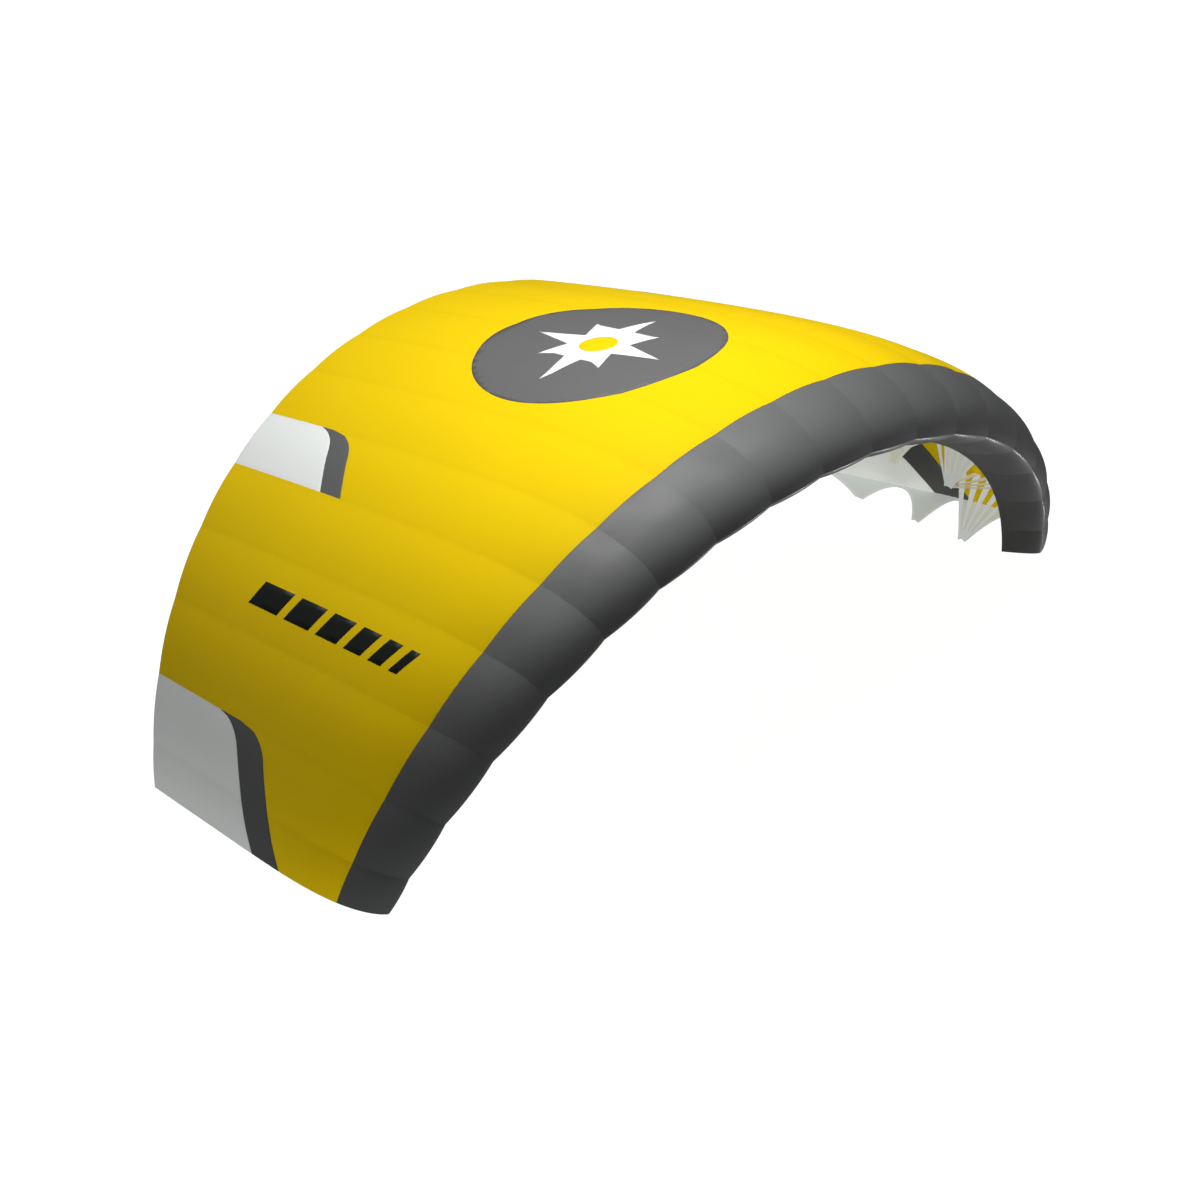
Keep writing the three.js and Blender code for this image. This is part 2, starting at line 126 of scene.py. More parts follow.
# The free arch before each tab: chord fraction of its top, and where its rise and its fall bend
ARCH_TOPS = [0.185, 0.38, 0.585]
ARCH_RISE = 0.31
ARCH_FALLS = [0.68, 0.92, 0.55]
ARCH_STRIP = 0.010
REAR_ARCH = (0.4, 0.68)
RIB_END = 0.88
TAPE = 0.007

# Fans of straps: chord fractions of their upper ends, share of cloth and joined share of the length
FAN = {"front": 0.15, "rear": 0.372, "straps": 5, "strap_share": 0.55, "joined": 0.14, "inset": 0.004,
       "clear": 0.0003}

# Badge on the middle of the wing, centred at a place in cells and chord fractions
BADGE = {"centre": (8.89, 0.5105), "long": 0.33, "short": 0.314, "turn": math.radians(-50)}
STAR = {"rays": 8, "long": 0.215, "short": 0.155, "waist": 0.085, "dot": 0.05}

# Bars on the left side, in cells across and chord fractions along, from the rear
BARS = {"rear": 0.73, "across": (3.34, 3.66), "slant": 0.025, "gap": 0.025,
        "lengths": (0.1, 0.085, 0.07, 0.055, 0.04, 0.025)}

# Mesh steps, where the rear tape starts, and how near two points of a cut are one
CELL_COLUMNS = 12
CORNER_COLUMNS = [0.7, 0.79, 0.87, 0.89, 0.94, 0.96, 0.98, 0.99]
COLUMN_DIGITS = 6
SKIN_ROWS = {"main": 40, "stripe": 7, "panel": 22}
NOSE_ROWS = {"under": 16, "top": 24}
ARCH_POINTS = 20
TAPE_START = 4
FAN_STEPS = 12
PATCH_ROWS = 24
BADGE_POINTS = 96
DOT_POINTS = 32
MERGE = 1e-7

# Threads, seams and puckers: sizes and heights are lengths, shades are shares of the colour; the crease
# shade beside ribs and hems is painted shade
RIPSTOP = {"pitch": 0.0055, "width": 0.0005, "height": 0.00005}
WEAVE = {"pitch": 0.0006, "width": 0.0003, "height": RIPSTOP["height"] / 3}
SEAM = {"rows": (0.0035, 0.0085), "thread": 0.0006, "stitch": 0.003, "gap": (0.0004, 0.0008),
        "crease": 0.0016, "thread_shade": 0.12, "painted_crease_shade": 0.07, "sink": 0.0001}
PUCKER = {"reach": 0.03, "scale": 28.0, "detail": 1.0, "height": 0.0008}

# Slow changes of the colour and of the roughness, and the values that most noise lies between
TONE = {"scale": 2.2, "detail": 2.0, "depth": 0.012}
WEAR = {"scale": 9.0, "detail": 3.0, "depth": 0.04}
NOISE_SPAN = (0.3, 0.7)

# Colour, strength of the ripstop grid and gloss of each cloth
YELLOW = {"colour": (0.835, 0.578, 0.003), "roughness": 0.55, "specular": 0.03}
CLOTHS = {
    "main_cloth": {**YELLOW, "ripstop": 0.05, "sewn": True},
    "dark_cloth": {"colour": (0.082, 0.085, 0.084), "ripstop": 0.08, "roughness": 0.75, "specular": 1.0,
                   "ior": 1.62, "coat": 0.1, "sewn": True},
    "light_cloth": {"colour": (0.885, 0.915, 0.89), "ripstop": 0.04, "roughness": 0.5, "sewn": True},
    "rib_cloth": {"colour": (0.60, 0.655, 0.655), "ripstop": 0.04, "roughness": 0.6},
    "strap_cloth": {"colour": (0.67, 0.71, 0.72), "ripstop": 0.03, "roughness": 0.6},
    "tape_cloth": {"colour": (0.66, 0.70, 0.70), "ripstop": 0.02, "roughness": 0.65},
    "badge_cloth": {"colour": (0.135, 0.135, 0.137), "ripstop": 0.06, "roughness": 0.5},
    "white_cloth": {"colour": (0.92, 0.92, 0.92), "ripstop": 0.03, "roughness": 0.5},
    "spot_cloth": {**YELLOW, "ripstop": 0.04},
    "print_cloth": {"colour": (0.012, 0.016, 0.013), "ripstop": 0.03, "roughness": 0.5}}
COAT_ROUGHNESS = 0.25

# Floor
FLOOR = {"reach": 40.0, "colour": (0.3, 0.3, 0.3, 1), "roughness": 0.9, "glow": 0.96}

# Lights, some of them only on pieces whose names start with given words
INNER_PIECES = ("line_rib", "nose_rib", "fan", "tip_panel_right")
NOSE_PIECES = ("leading_edge", "underskin")
LIGHTS = {
    "key": {"kind": "AREA", "place": (-0.1, -0.25, 3.45), "energy": 96.0, "glossy": True,
            "shape": "SQUARE", "size": 1.8},
    "side": {"kind": "POINT", "place": (-3.0, -1.0, -2.0), "energy": 235.0,
             "shadow_soft_size": 0.5, "use_shadow": False},
    "rim": {"kind": "POINT", "place": (2.7, -1.45, -2.15), "energy": 200.0, "glossy": True,
            "diffuse": False, "only_on": NOSE_PIECES, "shadow_soft_size": 0.2, "use_shadow": False},
    "inner_top": {"kind": "SUN", "place": (0.0, 0.0, 4.0), "energy": 1.1, "only_on": INNER_PIECES,
                  "use_shadow": False},
    "inner_front": {"kind": "SUN", "place": (-4.0, -4.0, 2.0), "energy": 0.85, "only_on": INNER_PIECES,
                    "use_shadow": False}}

# Soft light from all round: direction and strength of each glow, its falloff and its share in gloss
SKY = [((0, 1, -1), 0.134), ((0, 1, 0), 0.833), ((-1, 1, 0), 0.217), ((1, -1, 0), 0.78)]
SKY_POWER = 3.0
SKY_GLOSS = 0.15

# Camera
CAMERA = {"lens": 162.787, "sensor": 36.0, "reach": 200.0, "roll": math.radians(-0.2626),
          "place": (-9.44713, -8.62445, 7.25983), "target": (0.01118, 0.04216, 0.20313)}


def polynomial(terms, t):
    return sum(factor * t ** power for power, factor in terms.items())


def span_share(s):
    """Distance from the centre along the arc, as a share of the half span, negative on the left."""
    near = np.minimum(s, CELLS - s)
    cell = np.clip(near.astype(int), 0, CENTRE - 1)
    share = 1 - (OUTER_WIDTHS[cell] + (near - cell) * CELL_WIDTHS[cell]) / HALF_SPAN
    return np.where(s < CENTRE, -share, share)


def cell_width(s):
    near = np.minimum(s, CELLS - s)
    return CELL_WIDTHS[np.clip(np.ceil(near).astype(int) - 1, 0, CENTRE - 1)]


def tilt(t):
    return TIP_TILT * polynomial(TILT_SHARE, t)


def section(s):
    """Origin, directions and chord of the wing's section at s, which counts ribs from the left tip."""
    s = np.asarray(s, float)
    signed = span_share(s)
    side = np.where(signed < 0, -1.0, 1.0)
    t = np.abs(signed)
    step = t / ARC_STEPS
    angles = tilt((np.arange(ARC_STEPS) + 0.5) * step[..., None])
    x = np.cos(angles).sum(-1) * step * HALF_SPAN
    z = -np.sin(angles).sum(-1) * step * HALF_SPAN
    angle = tilt(t)
    chord = CENTRE_CHORD * (1 + polynomial(CHORD_TAPER, t))
    flare = TIP_FLARE * np.maximum(0, 1 - np.minimum(s, CELLS - s))
    pitch = np.radians(polynomial(PITCH_DEGREES, t))
    yaw = np.radians(polynomial(YAW_DEGREES, t)) - flare / chord
    zero = np.zeros_like(t)
    outboard = np.stack([side * np.cos(angle), zero, -np.sin(angle)], -1)
    upward = np.stack([side * np.sin(angle), zero, np.cos(angle)], -1)
    aft = np.stack([zero, np.cos(pitch), zero], -1) - upward * np.sin(pitch)[..., None]
    out = upward * np.cos(pitch)[..., None] + np.stack([zero, np.sin(pitch), zero], -1)
    along = aft * np.cos(yaw)[..., None] + outboard * np.sin(yaw)[..., None]
    origin = np.stack([side * x, polynomial(SWEEP, t), z], -1) + outboard * flare[..., None]
    return {"t": t, "chord": chord, "origin": origin, "along": along, "out": out,
            "across": np.cross(along, out)}


def outline_point(q, t):
    """The section's outline along q: q squared is the chord fraction, and q is negative below."""
    u = q * q
    front, middle, rear = (centre + change * t * t for centre, change in CAMBER.values())
    above = q * (1 - u) * (front * (1 - u) ** 2 + 2 * middle * u * (1 - u) + rear * u * u)
    depth = UNDERSKIN["depth"] + UNDERSKIN["tip_change"] * t * t
    lift = -depth * HEM - UNDERSKIN["hem_drop"]
    below = depth * q + lift * u / UNDERSKIN["length"]
    return np.stack([u + 0 * t, np.where(q >= 0, above, below)], -1)


def outline_tangent(q, t):
    step = 0.001
    low = np.where(q < 0, q - step, q)
    return (outline_point(low + step, t) - outline_point(low, t)) / step


def outline_at(q, place, depth):
    """A point of the outline in metres, moved inwards by depth."""
    tangent = outline_tangent(q, place["t"])
    tangent = tangent / np.linalg.norm(tangent, axis=-1, keepdims=True)
    inward = np.stack([tangent[..., 1], -tangent[..., 0]], -1)
    surface = outline_point(q, place["t"]) * place["chord"][..., None]
    return surface + inward * np.asarray(depth)[..., None]


def turned(p):
    """A place or direction of the level wing, turned about the span as the wing stands."""
    c, s = math.cos(WING_TURN), math.sin(WING_TURN)
    return np.stack([p[..., 0], c * p[..., 1] - s * p[..., 2], s * p[..., 1] + c * p[..., 2]], -1)


def to_space(point, place, sideways=0.0):
    """Where a point of a section stands, moved sideways out of the section's plane."""
    p = (place["origin"] + place["along"] * point[..., :1] + place["out"] * point[..., 1:]
         + place["across"] * sideways)
    return turned(p) + WING_PLACE


def bulge(s, q):
    """Outward bulge of a cell, greatest at the nose and none at the underskin's hem."""
    between = s - np.minimum(np.floor(s), CELLS - 1)
    arch = 4 * between * (1 - between) * cell_width(s) / CELL_WIDTHS[-1]
    above = BULGE["rear"] + (BULGE["nose"] - BULGE["rear"]) * np.exp(-((q / BULGE["reach"]) ** 2))
    below = BULGE["nose"] * (1 - q * q / UNDERSKIN["length"])
    return arch * np.where(q < 0, below, above)


def skin_point(s, q, depth):
    s, q, depth = np.broadcast_arrays(s, q, depth)
    place = section(s)
    return to_space(outline_at(q, place, depth - bulge(s, q)), place)


def top_seam(s):
    return np.sqrt(TOP_SEAM["centre"] + TOP_SEAM["tip_change"] * span_share(s) ** 2)


def smooth_table(at, values, x):
    """A smooth curve through a table that never overshoots it."""
    at, values = np.array(at, float), np.array(values, float)
    width, slope = np.diff(at), np.diff(values) / np.diff(at)
    both = slope[:-1] * slope[1:]
    inner = np.where(both > 0, 2 * both / np.where(both > 0, slope[:-1] + slope[1:], 1), 0)
    lean = np.concatenate([[slope[0]], inner, [slope[-1]]])
    k = np.clip(np.searchsorted(at, x, side="right") - 1, 0, len(width) - 1)
    h, r = width[k], (x - at[k]) / width[k]
    return (values[k] * (1 + 2 * r) * (1 - r) ** 2 + h * lean[k] * r * (1 - r) ** 2
            + values[k + 1] * r * r * (3 - 2 * r) - h * lean[k + 1] * r * r * (1 - r))


def panel_row(s, edge):
    near = np.minimum(s, CELLS - s)
    return np.sqrt(smooth_table(PANEL_AT, edge, near))


def column_positions(start, end):
    """Positions of the mesh columns from start to end, closer together beside rounded corners."""
    inner = {cell + k / CELL_COLUMNS for cell in range(CELLS) for k in range(CELL_COLUMNS)}
    corners = {stop - 1 + c for _, stop in PANELS.values() for c in CORNER_COLUMNS}
    inner |= corners | {CELLS - c for c in corners} | {CELLS}
    places = sorted(round(s, COLUMN_DIGITS) for s in inner)
    return np.array([s for s in places if start <= s <= end])


def rows_between(start, end, count, columns, tuck_start=False, tuck_end=False):
    """Rows of one band from start to end, and their depths, with an edge tucked under its neighbour."""
    share = np.linspace(0, 1, count + 1)
    q = start[:, None] + (end - start)[:, None] * share
    depth = np.full(q.shape, OUTER_DEPTH)
    place = section(columns)

    def shift(edge, distance):
        return distance / (np.linalg.norm(outline_tangent(edge, place["t"]), axis=-1) * place["chord"])

    if tuck_start:
        head = np.stack([start - shift(start, LAP), start, start + shift(start, EASE)], 1)
        q = np.concatenate([head, q[:, 1:]], 1)
        depth = np.concatenate([np.full((len(q), 2), OUTER_DEPTH + TUCK),
                                np.full((len(q), q.shape[1] - 2), OUTER_DEPTH)], 1)
    if tuck_end:
        tail = np.stack([end - shift(end, EASE), end, end + shift(end, LAP)], 1)
        q = np.concatenate([q[:, :-1], tail], 1)
        depth = np.concatenate([depth[:, :-1], np.full((len(q), 1), OUTER_DEPTH),
                                np.full((len(q), 2), OUTER_DEPTH + TUCK)], 1)
    return q, depth


def link(mesh, name):
    piece = bpy.data.objects.new(name, mesh)
    bpy.context.scene.collection.objects.link(piece)
    return piece


def set_uv(mesh, name, values):
    layer = mesh.uv_layers.new(name=name)
    layer.data.foreach_set("uv", np.asarray(values, np.float32).ravel())


def squares_and_rim(keep):
    """Corners of the kept squares of a grid, and ends of the free edges round them."""
    ci, cj = np.nonzero(keep)
    corners = np.stack([np.stack([ci, cj], -1), np.stack([ci + 1, cj], -1),
                        np.stack([ci + 1, cj + 1], -1), np.stack([ci, cj + 1], -1)], 1)
    padded = np.pad(keep, 1)
    rim = []
    for k, (di, dj) in enumerate([(0, -1), (1, 0), (0, 1), (-1, 0)]):
        free = ~padded[ci + 1 + di, cj + 1 + dj]
        rim.append(np.stack([corners[free, (k + 1) % 4], corners[free, k]], 1))
    return corners, np.concatenate(rim)


def closed_faces(ids, squares, rim, count):
    """Faces of a sheet's two sides and of its rim, where the second side's ids are count higher."""
    near = ids[squares[..., 0], squares[..., 1]]
    edge = ids[rim[..., 0], rim[..., 1]]
    walls = np.stack([edge[:, 0], edge[:, 1], edge[:, 1] + count, edge[:, 0] + count], 1)
    return np.concatenate([near, near[:, ::-1] + count, walls])


def set_grid_maps(mesh, columns, chordwise, keep, squares, rim):
    """Maps of the cloth, of the way from the nearest rib, and of the way from both hems."""
    corners = np.concatenate([squares, squares[:, ::-1], rim[:, [0, 1, 1, 0]]])
    ci, cj = corners[..., 0], corners[..., 1]
    spanwise = span_share(columns) * HALF_SPAN
    near_rib = np.abs(columns - np.round(columns)) * cell_width(columns)
    set_uv(mesh, "Cloth", np.stack([spanwise[ci], chordwise[ci, cj]], -1))
    set_uv(mesh, "Seam", np.stack([near_rib[ci], chordwise[ci, cj]], -1))
    first = np.argmax(keep, 1)
    last = keep.shape[1] - np.argmax(keep[:, ::-1], 1)
    side = squares[:, 0, 0]
    strip = np.concatenate([side, side, np.minimum(rim[..., 0].min(1), len(keep) - 1)])[:, None]
    front = chordwise[ci, cj] - chordwise[ci, first[strip]]
    back = chordwise[ci, last[strip]] - chordwise[ci, cj]
    set_uv(mesh, "Hem", np.stack([front, back], -1))


def grid_piece(name, columns, q, depth, keep, material):
    """A closed sheet over the kept squares of a grid, the box of its cut and its area."""
    outer = skin_point(columns[:, None], q, depth)
    inner = skin_point(columns[:, None], q, depth + CLOTH)
    squares, rim = squares_and_rim(keep)
    used = np.zeros(q.shape, bool)
    used[squares[..., 0], squares[..., 1]] = True
    count = int(used.sum())
    ids = np.full(q.shape, -1)
    ids[used] = np.arange(count)
    faces = closed_faces(ids, squares, rim, count)
    mesh = bpy.data.meshes.new(name)
    mesh.from_pydata(np.concatenate([outer[used], inner[used]]).tolist(), [], faces.tolist())
    mesh.polygons.foreach_set("use_smooth", np.arange(len(faces)) < 2 * len(squares))
    column = np.tile(np.nonzero(used)[0], 2)
    at_rib = np.isclose(columns, np.round(columns))[column]
    ends = np.array([edge.vertices[:] for edge in mesh.edges])
    crease = at_rib[ends].all(1) & (column[ends[:, 0]] == column[ends[:, 1]])
    mesh.edges.foreach_set("use_edge_sharp", crease)
    step = np.linalg.norm(np.diff(outer, axis=1), axis=-1)
    chordwise = np.concatenate([np.zeros((len(columns), 1)), np.cumsum(step, 1)], 1)
    set_grid_maps(mesh, columns, chordwise, keep, squares, rim)
    mesh.materials.append(material)
    mesh.update()
    doubled = np.cross(outer[1:, 1:] - outer[:-1, :-1], outer[1:, :-1] - outer[:-1, 1:])
    area = np.linalg.norm(doubled, axis=-1)[keep].sum() / 2
    low, high = span_share(columns[[0, -1]]) * HALF_SPAN
    width, length = float(high - low), float(chordwise.max())
    return link(mesh, name), (width, length), float(min(area, width * length))


def declare(piece, slot, nodes=(), **sheet):
    """Hangs a piece on the root body and hides the model's nodes it stands for; its slot and the sheet's
    cut are not used.
    """
    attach(piece, "root")
    if nodes:
        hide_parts(*nodes)
    return piece


class Nodes:
    """Short ways to add and link shader nodes in one tree."""

    def __init__(self, tree):
        self.tree = tree
        tree.nodes.clear()

    def add(self, kind, **settings):
        node = self.tree.nodes.new(kind)
        for name, value in settings.items():
            setattr(node, name, value)
        return node

    def feed(self, socket, value):
        if isinstance(value, bpy.types.NodeSocket):
            self.tree.links.new(value, socket)
        else:
            socket.default_value = value

    def maths(self, operation, *values):
        node = self.add("ShaderNodeMath", operation=operation)
        for socket, value in zip(node.inputs, values):
            self.feed(socket, value)
        return node.outputs[0]

    def between(self, value, low, high, start, end):
        """Maps low..high to start..end, and no further."""
        node = self.add("ShaderNodeMapRange")
        for socket, given in zip(node.inputs, (value, low, high, start, end)):
            self.feed(socket, given)
        return node.outputs[0]

    def split(self, name):
        uv = self.add("ShaderNodeUVMap", uv_map=name)
        parts = self.add("ShaderNodeSeparateXYZ")
        self.feed(parts.inputs[0], uv.outputs[0])
        return parts.outputs[0], parts.outputs[1], uv.outputs[0]

    def noise(self, vector, look):
        node = self.add("ShaderNodeTexNoise")
        self.feed(node.inputs["Vector"], vector)
        self.feed(node.inputs["Scale"], look["scale"])
        self.feed(node.inputs["Detail"], look["detail"])
        return node.outputs["Fac"]


def line(nodes, value, at, width):
    """1 on a line of that width where value is at, and 0 away from it."""
    off = nodes.maths("ABSOLUTE", nodes.maths("SUBTRACT", value, at))
    return nodes.between(off, width / 2, width, 1.0, 0.0)


def threads(nodes, value, pitch, width):
    """1 on threads repeated at that pitch, and 0 between them."""
    return nodes.between(nodes.maths("PINGPONG", value, pitch / 2), 0.0, width, 1.0, 0.0)


def stitches(nodes, distance, along):
    """Two rows of stitches beside a seam."""
    rows = nodes.maths("MAXIMUM", line(nodes, distance, SEAM["rows"][0], SEAM["thread"]),
                       line(nodes, distance, SEAM["rows"][1], SEAM["thread"]))
    dashes = nodes.between(nodes.maths("PINGPONG", along, SEAM["stitch"]), *SEAM["gap"], 0.0, 1.0)
    return nodes.maths("MULTIPLY", rows, dashes)


def fabric(nodes, across, along, cloth, ripstop):
    """Tone and height of plain cloth: a faint uneven tone, ripstop threads and a weave."""
    grid = nodes.maths("MAXIMUM", threads(nodes, across, RIPSTOP["pitch"], RIPSTOP["width"]),
                       threads(nodes, along, RIPSTOP["pitch"], RIPSTOP["width"]))
    weave = nodes.maths("MULTIPLY", threads(nodes, across, WEAVE["pitch"], WEAVE["width"]),
                        threads(nodes, along, WEAVE["pitch"], WEAVE["width"]))
    tone = nodes.between(nodes.noise(cloth, TONE), *NOISE_SPAN, 1 - TONE["depth"], 1 + TONE["depth"])
    tone = nodes.maths("MULTIPLY", tone, nodes.between(grid, 0.0, 1.0, 1.0, 1 - ripstop))
    height = nodes.maths("ADD", nodes.maths("MULTIPLY", grid, RIPSTOP["height"]),
                         nodes.maths("MULTIPLY", weave, WEAVE["height"]))
    return tone, height


def sewn_fabric(nodes, across, cloth, tone, height):
    """The same tone and height with stitches, painted shade in the creases, and slight puckers at ribs
    and hems.
    """
    rib, run, _ = nodes.split("Seam")
    front, back, _ = nodes.split("Hem")
    hem = nodes.maths("MINIMUM", front, back)
    sewing = nodes.maths("MAXIMUM", stitches(nodes, rib, run), stitches(nodes, hem, across))
    # Painted shade: the tone is darkened within a crease's width of each rib and hem, where a seam's
    # groove lies in shade
    crease = nodes.between(nodes.maths("MINIMUM", rib, hem), 0.0, SEAM["crease"], 1.0, 0.0)
    shade = nodes.maths("MAXIMUM", nodes.maths("MULTIPLY", sewing, SEAM["thread_shade"]),
                        nodes.maths("MULTIPLY", crease, SEAM["painted_crease_shade"]))
    tone = nodes.maths("MULTIPLY", tone, nodes.maths("SUBTRACT", 1.0, shade))
    slack = nodes.between(rib, 0.0, PUCKER["reach"], 1.0, 0.0)
    pull = nodes.maths("MULTIPLY", slack, nodes.noise(cloth, PUCKER))
    height = nodes.maths("ADD", height, nodes.maths("MULTIPLY", pull, PUCKER["height"]))
    return tone, nodes.maths("SUBTRACT", height, nodes.maths("MULTIPLY", sewing, SEAM["sink"]))


def cloth_material(name, colour, ripstop, roughness, specular=0.2, sewn=False, coat=0.0, ior=1.5):
    """Cloth of one colour, with stitched edges and painted shade in the seam creases where it is sewn."""
    material = bpy.data.materials.new(name)
    material.use_nodes = True
    nodes = Nodes(material.node_tree)
    across, along, cloth = nodes.split("Cloth")
    tone, height = fabric(nodes, across, along, cloth, ripstop)
    if sewn:
        tone, height = sewn_fabric(nodes, across, cloth, tone, height)
    paint = nodes.add("ShaderNodeVectorMath", operation="SCALE")
    nodes.feed(paint.inputs[0], colour)
    nodes.feed(paint.inputs["Scale"], tone)
    bump = nodes.add("ShaderNodeBump")
    nodes.feed(bump.inputs["Distance"], 1.0)
    nodes.feed(bump.inputs["Height"], height)
    wear = nodes.between(nodes.noise(cloth, WEAR), *NOISE_SPAN,
                         roughness - WEAR["depth"], roughness + WEAR["depth"])
    shader = nodes.add("ShaderNodeBsdfPrincipled")
    looks = {"Base Color": paint.outputs[0], "Normal": bump.outputs[0], "Roughness": wear,
             "Specular IOR Level": specular, "IOR": ior,
             "Coat Weight": coat, "Coat Roughness": COAT_ROUGHNESS}
    for socket, value in looks.items():
        nodes.feed(shader.inputs[socket], value)
    nodes.feed(nodes.add("ShaderNodeOutputMaterial").inputs["Surface"], shader.outputs[0])
    return material


MATERIALS = {name: cloth_material(name, **look) for name, look in CLOTHS.items()}


def skin_rows(columns):
    """Rows of the single skin from the leading edge's seam to the trailing edge."""
    edges = [top_seam(columns), panel_row(columns, STRIPE_EDGE), panel_row(columns, PANEL_EDGE),
             np.ones_like(columns)]
    bands = [np.linspace(low, high, count + 1, axis=1)
             for low, high, count in zip(edges, edges[1:], SKIN_ROWS.values())]
    return np.concatenate([bands[0]] + [band[:, 1:] for band in bands[1:]], 1)


def in_panel(columns, panel):
    start, stop = panel
    middle = (columns[1:] + columns[:-1]) / 2
    near = np.minimum(middle, CELLS - middle)
    return (near > start) & (near < stop)


def line_ribs(start, stop):
    return [f"line_rib_{number:02d}" for number in range(start, stop + 1) if number % 2 == 0]


def add_sheet(name, columns, q, depth, cloth, ribs, keep=None):
    """The cloth over one of the wing's sheets."""
    if keep is None:
        keep = np.ones((len(columns) - 1, q.shape[1] - 1), bool)
    piece, flat, area = grid_piece(f"{name}_cloth", columns, q, depth, keep, MATERIALS[cloth])
    declare(piece, cloth, [name], flat=flat, area=area, rests_on=ribs)


def add_skins():
    for part, (start, stop) in SKIN_PARTS.items():
        columns, ribs = column_positions(start, stop), line_ribs(start, stop)
        q = skin_rows(columns)
        keep = np.ones((len(columns) - 1, q.shape[1] - 1), bool)
        for panel in PANELS.values():
            keep[in_panel(columns, panel), SKIN_ROWS["main"]:] = False
        add_sheet(f"skin_{part}", columns, q, np.full(q.shape, OUTER_DEPTH), "main_cloth", ribs, keep)
        q, depth = rows_between(np.zeros_like(columns), top_seam(columns), NOSE_ROWS["top"], columns,
                                tuck_end=True)
        add_sheet(f"leading_edge_{part}", columns, q, depth, "dark_cloth", ribs)
    for part, (start, stop) in UNDERSKIN_PARTS.items():
        columns = column_positions(start, stop)
        q, depth = rows_between(np.full_like(columns, HEM), np.zeros_like(columns), NOSE_ROWS["under"],
                                columns, tuck_end=True)
        add_sheet(f"underskin_{part}", columns, q, depth, "dark_cloth", line_ribs(start, stop))


def add_panels():
    for place, (start, stop) in PANELS.items():
        for side, (low, high) in {"left": (start, stop), "right": (CELLS - stop, CELLS - start)}.items():
            columns = column_positions(low, high)
            ribs = [f"line_rib_{2 * round(low / 2):02d}"]
            stripe, panel = panel_row(columns, STRIPE_EDGE), panel_row(columns, PANEL_EDGE)
            bands = {"stripe": (stripe, panel, "dark_cloth"),
                     "panel": (panel, np.ones_like(columns), "light_cloth")}
            for band, (front, rear, cloth) in bands.items():
                q, depth = rows_between(front, rear, SKIN_ROWS[band], columns, tuck_start=True)
                add_sheet(f"{place}_{band}_{side}", columns, q, depth, cloth, ribs)


def flat_mesh(name, outlines, place, low, high, material):
    """Flat cloth in a section's plane between two sideways offsets, kept above the ground."""
    points, faces, cloth = [], [], []
    for outline in outlines:
        count, base = len(outline), len(points)
        for sideways in (low, high):
            spots = to_space(outline, place, sideways)
            spots[:, 2] = np.maximum(spots[:, 2], 0.0)
            points.extend(spots.tolist())
        ring = np.arange(count)
        faces.append((base + count + ring).tolist())
        faces.append((base + ring[::-1]).tolist())
        cloth.extend(outline.tolist())
        cloth.extend(outline[::-1].tolist())
        for a, b in zip(ring, np.roll(ring, -1)):
            faces.append([base + a, base + b, base + count + b, base + count + a])
            cloth.extend([outline[a], outline[b], outline[b], outline[a]])
    mesh = bpy.data.meshes.new(name)
    mesh.from_pydata(points, [], faces)
    set_uv(mesh, "Cloth", np.array(cloth))
    mesh.materials.append(material)
    mesh.update()
    return link(mesh, name)


def outline_area(outline):
    x, y = outline.T
    return abs(np.dot(x, np.roll(y, -1)) - np.dot(y, np.roll(x, -1))) / 2


def tab_drop(tab, t):
    low, high = TAB_DROP_EASE
    share = np.clip((t - low) / (high - low), 0, 1)
    inner = 1 - share * share * (3 - 2 * share)
    tip_drop, inner_drop = TABS[tab][1:]
    return tip_drop + (inner_drop - tip_drop) * inner


def tab_corners(tab, place):
    x, y = TABS[tab][0] * place["chord"], -tab_drop(tab, place["t"]) * place["chord"]
    return np.array([x - TAB_WIDTH / 2, y]), np.array([x + TAB_WIDTH / 2, y])


def curve(start, bend, end):
    r = np.linspace(0, 1, ARCH_POINTS + 1)[:, None]
    return start * (1 - r) ** 2 + 2 * bend * r * (1 - r) + end * r * r


def rib_top(number, end=None):
    """A rib's section and its edge under the skin, from the hem to the top seam or a given end."""
    place = section(float(number))
    seam = float(top_seam(np.array(float(number))))
    rows = [np.linspace(HEM, 0, NOSE_ROWS["under"], endpoint=False),
            np.linspace(0, seam, NOSE_ROWS["top"], endpoint=end is None)]
    if end:
        rows.append(np.linspace(seam, math.sqrt(end), SKIN_ROWS["main"]))
    rows = np.concatenate(rows)
    return place, outline_at(rows, place, np.full(rows.shape, RIB_TOP_DEPTH))


def free_arches(place, top):
    """A line rib's free lower edge, as arches from its rear end to the underskin's hem."""
    corners = [tab_corners(tab, place) for tab in TABS]
    depths = np.full(len(ARCH_TOPS), RIB_TOP_DEPTH)
    peaks = outline_at(np.sqrt(ARCH_TOPS), place, depths) - [0, ARCH_STRIP]
    behind, end = corners[-1][1], top[-1]
    arches = [curve(end, behind + (end - behind) * REAR_ARCH, behind)]
    for i in reversed(range(len(corners))):
        peak, start = peaks[i], corners[i][0]
        goal = corners[i - 1][1] if i else top[0]
        rise = np.array([start[0] + (peak[0] - start[0]) * ARCH_RISE, peak[1]])
        fall = np.array([goal[0] + (peak[0] - goal[0]) * ARCH_FALLS[i], peak[1]])
        arches.append(np.concatenate([curve(start, rise, peak)[:-1], curve(peak, fall, goal)]))
    return arches


def rib_shift(number):
    """How far a tip's rib moves inwards, so that no half of it stands out of the wing."""
    return {0: RIB / 2, CELLS: -RIB / 2}.get(number, 0.0)


def strip_beside(line_points, width):
    """A band along the left of a line of points."""
    way = np.gradient(line_points, axis=0)
    way /= np.linalg.norm(way, axis=1, keepdims=True)
    side = np.stack([way[:, 1], -way[:, 0]], 1)
    return np.concatenate([line_points, (line_points + side * width)[::-1]])


